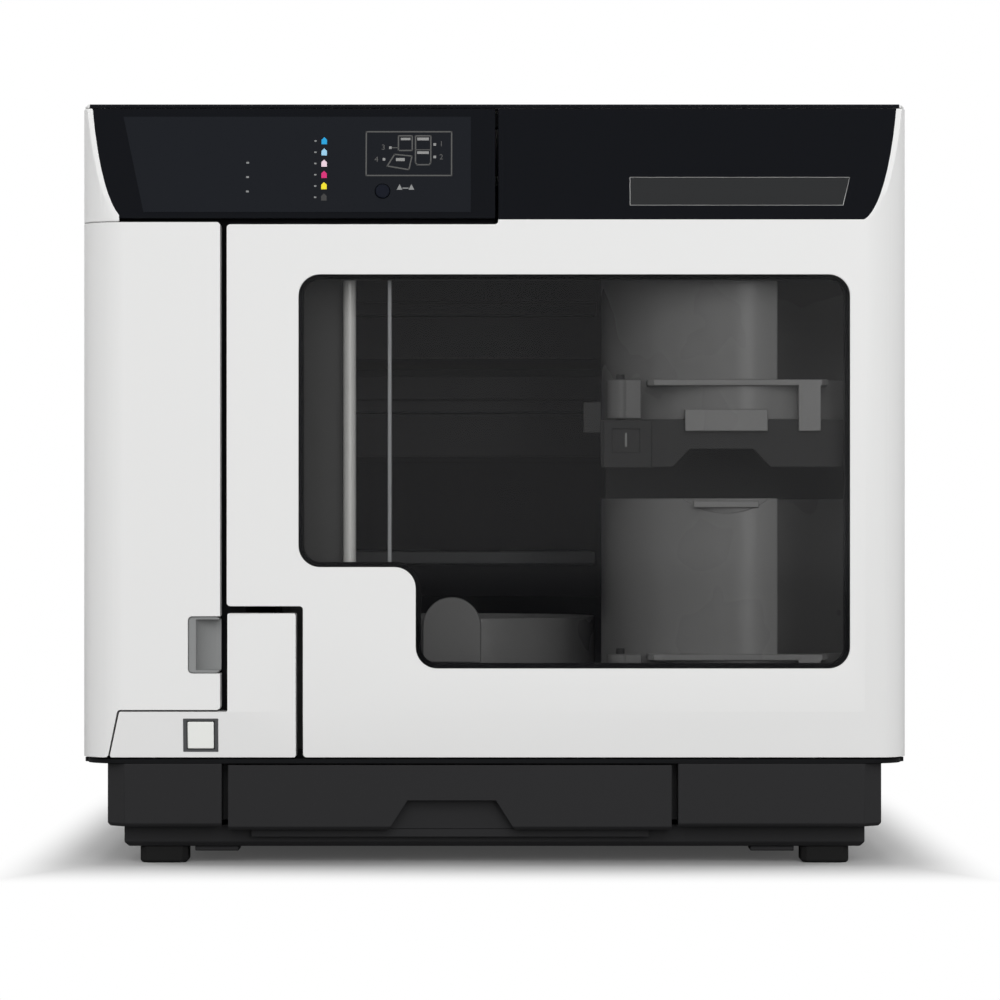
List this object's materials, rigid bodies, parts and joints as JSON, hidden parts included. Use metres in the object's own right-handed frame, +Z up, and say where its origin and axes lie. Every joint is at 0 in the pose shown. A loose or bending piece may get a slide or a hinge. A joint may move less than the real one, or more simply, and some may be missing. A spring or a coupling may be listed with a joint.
{
  "type": "disc label printer",
  "caption": "Desktop disc printer with hinged front covers, a smoked window, disc bins, a pick arm, drives, a printer and a drawer.",
  "frame": {"origin": "middle of the footprint, on the surface the rubber feet stand on", "axes": "+X to the right seen from the front, the front faces -Y, +Z up"},
  "size_m": [0.377, 0.465, 0.348],
  "materials": {
    "white_case": "fine satin moulding",
    "black_band": "semi-gloss blue-black",
    "membrane": "semi-gloss film",
    "black_plinth": "fine grain black",
    "dark_frame": "matt black",
    "smoked_window": "smoked clear plastic",
    "lamp_window": "smoked clear plastic",
    "key_white": "gloss",
    "round_key": "gloss",
    "grip_grey": "matt grey",
    "column_grey": "matt grey",
    "bin_grey": "matt grey",
    "holder_black": "matt black",
    "lever_grey": "satin grey",
    "polished_steel": "ground and polished",
    "sheet_steel": "zinc plated",
    "rear_paint": "textured dark paint",
    "rubber": "matt",
    "belt_rubber": "toothed belt rubber",
    "board_green": "solder mask",
    "ink_black": "satin",
    "motor_steel": "plated can",
    "tray_black": "satin",
    "machine_grey": "satin"
  },
  "bodies": {
    "chassis": {"base_pan": "black_plinth", "rubber_feet": "rubber", "plinth_skirt": "black_plinth", "plinth_front_panels": "black_plinth", "main_deck": "dark_frame", "front_frame": "dark_frame", "hinge_pins": "polished_steel", "side_cover_left": "white_case", "side_cover_right": "white_case", "top_cover": "white_case", "rear_panel": "rear_paint", "lower_front_panel": "white_case", "power_bezel": "machine_grey", "control_panel": "black_band", "control_membrane": "membrane", "bay_walls": "dark_frame", "arm_column": "column_grey", "arm_shaft": "polished_steel", "arm_guide_strip": "sheet_steel", "arm_belt": "belt_rubber", "arm_motor": "motor_steel", "bin_holder": "holder_black", "bin_1": "bin_grey", "bin_2": "bin_grey", "bin_3": "bin_grey", "drive_cage": "dark_frame", "drive_upper": "tray_black", "drive_lower": "tray_black", "printer_housing": "dark_frame", "carriage_rail": "polished_steel", "ink_rack": "dark_frame", "ink_cartridges": "ink_black", "drawer_rails": "sheet_steel", "main_board": "board_green", "power_supply": "sheet_steel", "fan_frame": "dark_frame", "rear_sockets": "tray_black"},
    "door": {"door_shell": "white_case", "door_band": "black_band", "status_lamp": "lamp_window", "door_window": "smoked_window", "window_frame": "dark_frame"},
    "ink_cover": {"ink_cover_shell": "white_case", "ink_cover_grip": "grip_grey"},
    "drawer": {"drawer_front": "black_plinth", "drawer_tray": "tray_black"},
    "power_key_body": {"power_key": "key_white"},
    "round_key_body": {"round_key": "round_key"},
    "carriage": {"arm_carriage": "machine_grey"},
    "arm": {"pick_arm": "machine_grey", "gripper": "tray_black"},
    "drive_pulley_body": {"drive_pulley": "machine_grey"},
    "idler_pulley_body": {"idler_pulley": "machine_grey"},
    "upper_tray": {"drive_upper_tray": "tray_black"},
    "lower_tray": {"drive_lower_tray": "tray_black"},
    "printer_tray_body": {"printer_tray": "machine_grey"},
    "print_head": {"print_carriage": "tray_black"},
    "fan": {"fan_rotor": "tray_black"},
    "lever_1": {"bin_lever_1": "lever_grey"},
    "lever_2": {"bin_lever_2": "lever_grey"}
  },
  "joints": [
    {"name": "door_hinge", "type": "hinge", "parent": "chassis", "child": "door", "pos_m": [0.1852, -0.2075, 0.06], "axis": [0, 0, 1], "range_deg": [0, 95]},
    {"name": "ink_cover_hinge", "type": "hinge", "parent": "chassis", "child": "ink_cover", "pos_m": [-0.1852, -0.2075, 0.06], "axis": [0, 0, -1], "range_deg": [0, 95]},
    {"name": "drawer_slide", "type": "slide", "parent": "chassis", "child": "drawer", "axis": [0, -1, 0], "range_m": [0, 0.19]},
    {"name": "power_key_press", "type": "slide", "parent": "chassis", "child": "power_key_body", "axis": [0, 1, 0], "range_m": [0, 0.0015], "stiffness_N_per_m": 300, "springref_m": -0.001},
    {"name": "round_key_press", "type": "slide", "parent": "chassis", "child": "round_key_body", "axis": [0, 0.9778, -0.2096], "range_m": [0, 0.0008], "stiffness_N_per_m": 300, "springref_m": -0.001},
    {"name": "arm_lift", "type": "slide", "parent": "chassis", "child": "carriage", "axis": [0, 0, 1], "range_m": [-0.17, 0]},
    {"name": "arm_swing", "type": "hinge", "parent": "carriage", "child": "arm", "pos_m": [-0.067, -0.199, 0.318], "axis": [0, 0, -1], "range_deg": [0, 57.18]},
    {"name": "drive_pulley_spin", "type": "hinge", "parent": "chassis", "child": "drive_pulley_body", "pos_m": [-0.086, -0.181, 0.072], "axis": [0, -1, 0], "range_deg": [-1800, 20]},
    {"name": "idler_pulley_spin", "type": "hinge", "parent": "chassis", "child": "idler_pulley_body", "pos_m": [-0.086, -0.181, 0.318], "axis": [0, -1, 0], "range_deg": [-1800, 20]},
    {"name": "upper_tray_slide", "type": "slide", "parent": "chassis", "child": "upper_tray", "axis": [0, -1, 0], "range_m": [0, 0.138]},
    {"name": "lower_tray_slide", "type": "slide", "parent": "chassis", "child": "lower_tray", "axis": [0, -1, 0], "range_m": [0, 0.138]},
    {"name": "printer_tray_slide", "type": "slide", "parent": "chassis", "child": "printer_tray_body", "axis": [0, -1, 0], "range_m": [0, 0.138]},
    {"name": "print_carriage_slide", "type": "slide", "parent": "chassis", "child": "print_head", "axis": [1, 0, 0], "range_m": [0, 0.125]},
    {"name": "fan_spin", "type": "hinge", "parent": "chassis", "child": "fan", "pos_m": [0.118, 0.218, 0.262], "axis": [0, 1, 0], "continuous": true},
    {"name": "lever_1_swing", "type": "hinge", "parent": "chassis", "child": "lever_1", "pos_m": [0.058, -0.205, 0.213], "axis": [0, 0, -1], "range_deg": [0, 60]},
    {"name": "lever_2_swing", "type": "hinge", "parent": "chassis", "child": "lever_2", "pos_m": [0.058, -0.205, 0.087], "axis": [0, 0, -1], "range_deg": [0, 60]}
  ],
  "couplings": [
    {"joint": "drive_pulley_spin", "follows": "arm_lift", "rad_per_m": 180.18},
    {"joint": "idler_pulley_spin", "follows": "arm_lift", "rad_per_m": 180.18}
  ]
}
